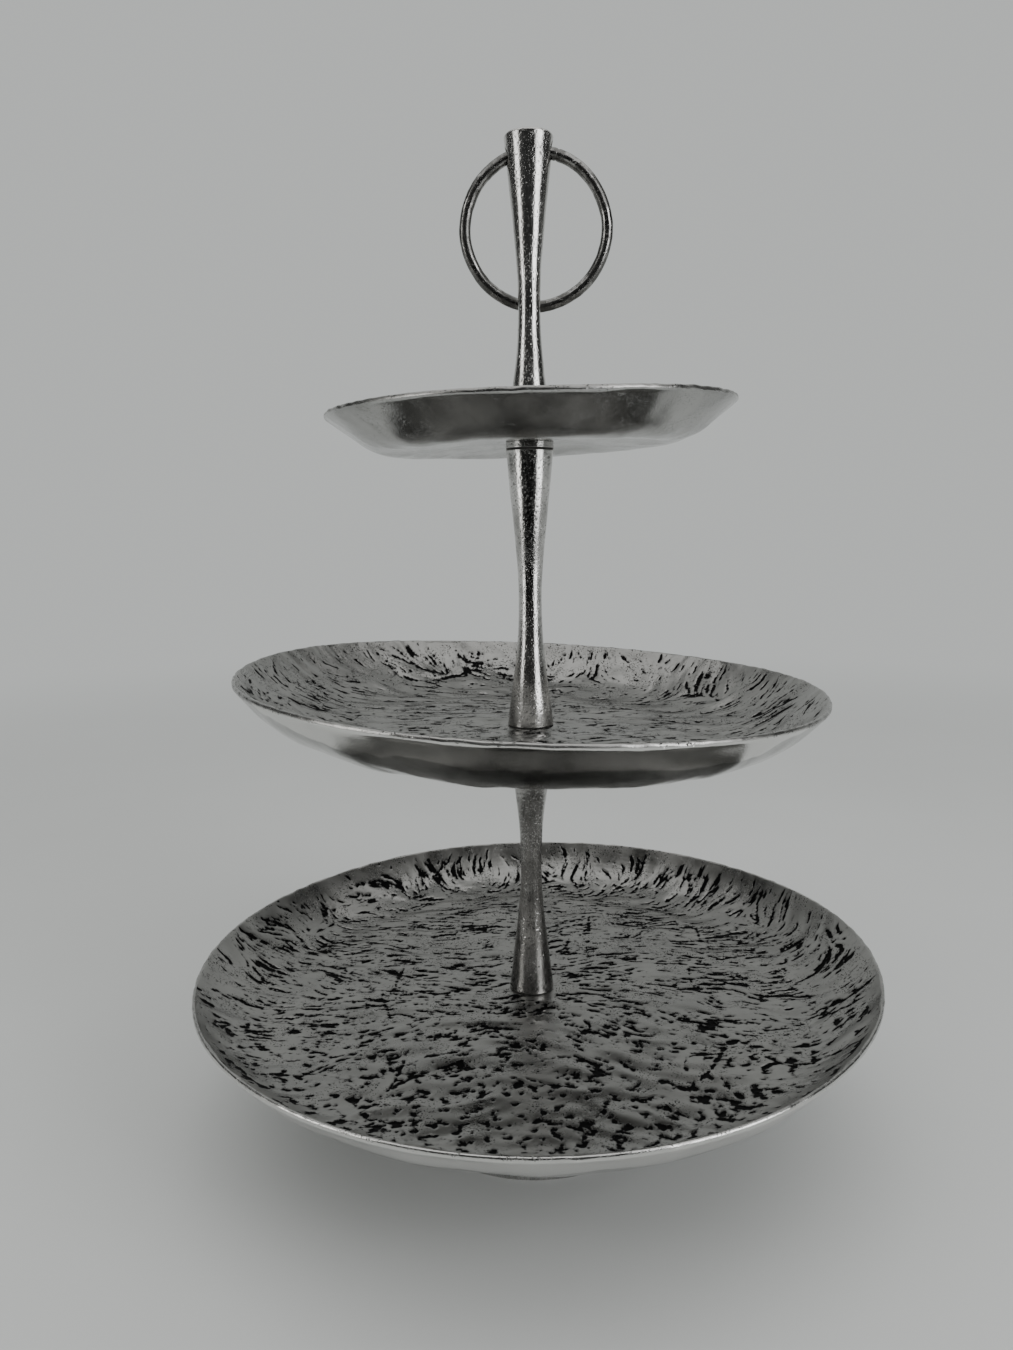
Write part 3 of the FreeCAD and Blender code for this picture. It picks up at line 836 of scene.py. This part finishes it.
def zinc():
    """Plain zinc plating with its faint spangle, for the nut, washer and studs."""
    s = Shader("fastener_zinc")
    spangle = s.noise(420.0, 3.0, 0.6)
    colour = s.blend(s.ramp(spangle, 0.0, 1.0, 0.35, 0.65), (0.40, 0.41, 0.42), (0.56, 0.56, 0.55))
    rough = s.ramp(s.noise(900.0, 2.0), 0.26, 0.42, 0.3, 0.7)
    return s.finish(colour, 1.0, rough, s.bump(spangle, 0.00004))


def table_paint():
    """A plain pale tabletop that runs out into the backdrop's own tone. What the metal mirrors of it is
    painted black towards the viewer, a painted shade that stands in for the dark room there."""
    s = Shader("table_paint")
    black = (0.0, 0.0, 0.0)
    tone = s.noise(6.0, 3.0, 0.5)
    from_stand = s.node("ShaderNodeVectorMath", {"operation": "LENGTH"})
    s.put(from_stand.inputs[0], s.place())
    far = s.ramp(from_stand.outputs["Value"], 0.0, 1.0, 0.5, 1.7)
    across = s.node("ShaderNodeSeparateXYZ")
    s.put(across.inputs[0], s.place())
    # Painted shade: in what the metal mirrors, the floor goes black towards the viewer, standing in for the
    # dark room there.
    beyond = s.ramp(across.outputs["Y"], 1.0, 0.0, -0.85, -0.50)
    mirrored = s.math("SUBTRACT", 1.0, s.node("ShaderNodeLightPath").outputs["Is Camera Ray"])
    painted_dark_in_reflections = s.math("MULTIPLY", beyond, mirrored)
    near = s.blend(tone, (0.61, 0.62, 0.61), (0.65, 0.66, 0.65))
    colour = s.blend(painted_dark_in_reflections, s.blend(far, near, black), black)
    glow = s.blend(painted_dark_in_reflections, s.blend(far, black, tuple(BACKDROP * c for c in ROOM_TINT)), black)
    s.put(s.surface.inputs["Emission Color"], glow)
    s.put(s.surface.inputs["Emission Strength"], 1.0)
    s.put(s.surface.inputs["Specular IOR Level"], 0.0)
    return s.finish(colour, 0.0, 0.6, s.bump(s.noise(300.0, 3.0), 0.00004))


# --- camera, light and floor ---------------------------------------------------------------------------


def add_camera():
    """The viewpoint: close, between the levels of the middle and top dishes, looking slightly down."""
    yaw, pitch, roll = (math.radians(a) for a in CAMERA["turn"])
    forward = Vector((math.sin(yaw) * math.cos(pitch), math.cos(yaw) * math.cos(pitch), -math.sin(pitch)))
    right = Vector((math.cos(yaw), -math.sin(yaw), 0.0))
    up = right.cross(forward)
    level_right = right * math.cos(roll) + up * math.sin(roll)
    level_up = up * math.cos(roll) - right * math.sin(roll)
    data = bpy.data.cameras.new("camera")
    data.sensor_width = 36.0
    data.lens = CAMERA["lens"]
    data.clip_start = 0.01
    data.dof.use_dof = False
    camera = bpy.data.objects.new("camera", data)
    bpy.context.scene.collection.objects.link(camera)
    turn = Matrix((level_right, level_up, -forward)).transposed()
    camera.matrix_world = Matrix.Translation(Vector(CAMERA["place"]) * MM) @ turn.to_4x4()
    bpy.context.scene.camera = camera


def add_softbox(name, place, target, width, height, power, colour=(1.0, 1.0, 1.0)):
    """A soft oblong lamp that lights and is mirrored, but isn't seen itself. Metres and watts."""
    data = bpy.data.lights.new(name, "AREA")
    data.shape = "RECTANGLE"
    data.size, data.size_y = width, height
    data.energy = power
    data.color = colour
    lamp = bpy.data.objects.new(name, data)
    bpy.context.scene.collection.objects.link(lamp)
    aim = (Vector(target) - Vector(place)).to_track_quat("-Z", "Y")
    lamp.matrix_world = Matrix.Translation(place) @ aim.to_matrix().to_4x4()
    lamp.visible_camera = False


def add_world():
    """The plain room that the metal mirrors: a pale wall behind the stand, a dimmer ceiling, and a dark side
    behind the viewer. The backdrop that is seen is one even tone all round."""
    world = bpy.data.worlds.new("room")
    world.use_nodes = True
    tree = world.node_tree
    background = next(n for n in tree.nodes if n.type == "BACKGROUND")
    place = tree.nodes.new("ShaderNodeTexCoord")
    split = tree.nodes.new("ShaderNodeSeparateXYZ")
    tree.links.new(place.outputs["Generated"], split.inputs[0])

    def fade(axis, start, end, low, high):
        """A strength that changes from low to high as the direction turns along an axis."""
        made = tree.nodes.new("ShaderNodeMapRange")
        made.interpolation_type = "SMOOTHSTEP"
        for key, number in (("From Min", start), ("From Max", end), ("To Min", low), ("To Max", high)):
            made.inputs[key].default_value = number
        tree.links.new(split.outputs[axis], made.inputs["Value"])
        return made.outputs["Result"]

    lighter = tree.nodes.new("ShaderNodeMath")
    lighter.operation = "MAXIMUM"
    tree.links.new(fade("Y", 0.42, 0.74, 0.04, 0.60), lighter.inputs[0])
    tree.links.new(fade("Z", 0.45, 0.95, 0.0, 0.42), lighter.inputs[1])
    seen = tree.nodes.new("ShaderNodeLightPath")
    shown = tree.nodes.new("ShaderNodeMix")
    tree.links.new(seen.outputs["Is Camera Ray"], shown.inputs[0])
    tree.links.new(lighter.outputs[0], shown.inputs[2])
    shown.inputs[3].default_value = BACKDROP
    tree.links.new(shown.outputs[0], background.inputs["Strength"])
    background.inputs["Color"].default_value = (*ROOM_TINT, 1.0)
    bpy.context.scene.world = world


def add_floor():
    """The tabletop, large enough for its edge to be out of sight."""
    bpy.ops.mesh.primitive_plane_add(size=14.0, location=(0.0, 0.0, 0.0))
    floor = bpy.context.object
    floor.name = "floor"
    floor.data.materials.append(table_paint())


# --- the stand -----------------------------------------------------------------------------------------

# Where the camera stands, in mm, its yaw, pitch and roll in degrees, and its focal length in mm on a picture
# 36 mm high.
CAMERA = {"place": (-3.54, -458.0, 291.2), "turn": (-0.96, 9.22, -0.44), "lens": 26.50933}

# Sizes in mm. "edge" is the height of the foot's rim, and "stand_inside" the inner radius of the ring it
# stands on.
FOOT = {"radius": 60.0, "stand_inside": 56.0, "edge": 3.0, "height": 58.6, "seed": 71}

# A stem's length, and the radius and height of its waist.
LOWER_STEM = {"length": 124.1, "waist": 4.95, "waist_height": 62.8, "seed": 3}
MIDDLE_STEM = {"length": 126.4, "waist": 5.3, "waist_height": 57.5, "seed": 4}
HANDLE_STEM = {"length": 124.0, "waist": 4.9, "waist_height": 54.9, "seed": 6}
HANDLE_HOLE = 4.0
COLLAR_SEEDS = {"lower_collar": 8, "upper_collar": 9}

# The ring's radius to the middle of its wire, the wire's own radius, how far its centre hangs from the hinge,
# and in degrees: the slant of its hole, how far it leans back, and where its ends are soldered.
RING = {"radius": 31.2, "wire": 2.5, "hang": 30.3, "slant": 6.0, "lean": 7.3, "seam": 67.0, "seed": 5}

# A dish's outer radius, the width and rise of its wall, the inside and outside radius of the bend into the
# wall, how much its floor domes, how far it is off the axis and out of level, and the seat that is clamped.
# Then its marks: the share that is pitted, long scratches, how much the flow swirls and the front blotches,
# and the depths of ripples, pits, dents and beating. Then its metal: "lip" and "dull" are how much of the
# inside's finish its lip and its outside have, and "pale" sets how far down its front the painted reflection
# comes, with 0 for none. "waves" are the turns, size and phase of what puts its rim out of true.
BOTTOM = {
    "radius": 160.0, "run": 17.0, "rise": 21.1, "bend": (45.0, 38.0), "dome": 1.2,
    "offset": 1.9, "tilt": -0.94, "seat_level": FOOT["height"], "seat": 3.6,
    "seed": 11, "rings": 250, "pitted": 0.215, "scratches": 18, "swirl": 0.22, "blotchy": 1.0,
    "ripple": 0.16, "depth": 0.55, "dents": 0.16, "beaten": 0.22,
    "lip": 0.35, "dull": 0.0, "pale": 1.2,
    "waves": [(2, 0.45, 0.4), (3, 0.35, 1.9), (7, 0.12, 0.2)],
}
MIDDLE = {
    "radius": 134.6, "run": 23.0, "rise": 24.3, "bend": (62.0, 55.0), "dome": 1.4,
    "offset": -1.3, "tilt": 2.6, "seat_level": 189.1, "seat": 4.2,
    "seed": 23, "rings": 210, "pitted": 0.15, "scratches": 10, "swirl": 0.22, "blotchy": 0.3,
    "ripple": 0.26, "depth": 0.50, "dents": 0.22, "beaten": 0.28,
    "lip": 0.85, "dull": 0.0, "pale": 1.0,
    "waves": [(2, 0.40, 2.2), (3, 0.45, 0.3), (5, 0.22, 1.1)],
}
TOP = {
    "radius": 90.7, "run": 21.5, "rise": 11.9, "bend": (22.0, 25.0), "dome": 5.2,
    "offset": 0.6, "tilt": -2.05, "seat_level": 322.9, "seat": 4.4,
    "seed": 37, "rings": 144, "pitted": 0.12, "scratches": 5, "swirl": 0.25, "blotchy": 0.3,
    "ripple": 0.14, "depth": 0.45, "dents": 0.14, "beaten": 0.26,
    "lip": 0.95, "dull": 0.2, "pale": 0.0,
    "waves": [(2, 0.35, 0.9), (3, 0.30, 2.5), (6, 0.12, 0.7)],
}
FASTENERS = ("base_washer", "base_nut", "base_stud", "lower_stud", "upper_stud")


def build():
    """Makes every piece that stands for a CAD node, and gives the fasteners, which stay, their metal."""
    dish = dish_metal()
    stem = stem_metal("stem_polished_metal", (0.36, 0.355, 0.342), (0.60, 0.592, 0.575), 0.13, 0.24)
    # The lower stem takes a darker copy of the stem metal.
    low_stem = stem_metal("lower_stem_darker_metal", (0.27, 0.266, 0.257), (0.50, 0.494, 0.48), 0.11, 0.20)
    foot = stem_metal("foot_polished_metal", (0.38, 0.378, 0.37), (0.55, 0.546, 0.535), 0.20, 0.34)
    make_dish("bottom_tray", BOTTOM, dish, "base")
    make_dish("middle_tray", MIDDLE, dish, "middle_tier")
    make_dish("top_tray", TOP, dish, "top_tier")
    make_stem("lower_stem", LOWER_STEM, low_stem, "base")
    make_stem("middle_stem", MIDDLE_STEM, stem, "middle_column")
    handle = make_stem("handle_stem", HANDLE_STEM, stem, "handle", capped=True)
    hole_middle, hole_axis = ring_hinge()
    drill(handle, np.array(hole_middle), hole_axis, HANDLE_HOLE, 0.10)
    make_collar("lower_collar", stem, "middle_tier", COLLAR_SEEDS["lower_collar"])
    make_collar("upper_collar", stem, "top_tier", COLLAR_SEEDS["upper_collar"])
    make_foot(foot)
    make_ring(rod_metal())
    plated = zinc()
    for node in FASTENERS:
        for slot in bpy.data.objects[node].material_slots:
            slot.material = plated


build()
add_world()
add_floor()
add_camera()
add_softbox("window", (1.26, -0.98, 0.55), (0.0, 0.0, 0.25), 0.9, 1.5, 20.0, (0.98, 0.99, 1.0))
add_softbox("far_window", (-1.41, -0.75, 0.50), (0.0, 0.0, 0.25), 0.6, 1.3, 8.5, (1.0, 1.0, 0.98))
add_softbox("ceiling", (0.0, -0.40, 2.1), (0.0, -0.1, 0.0), 3.4, 3.0, 34.0)
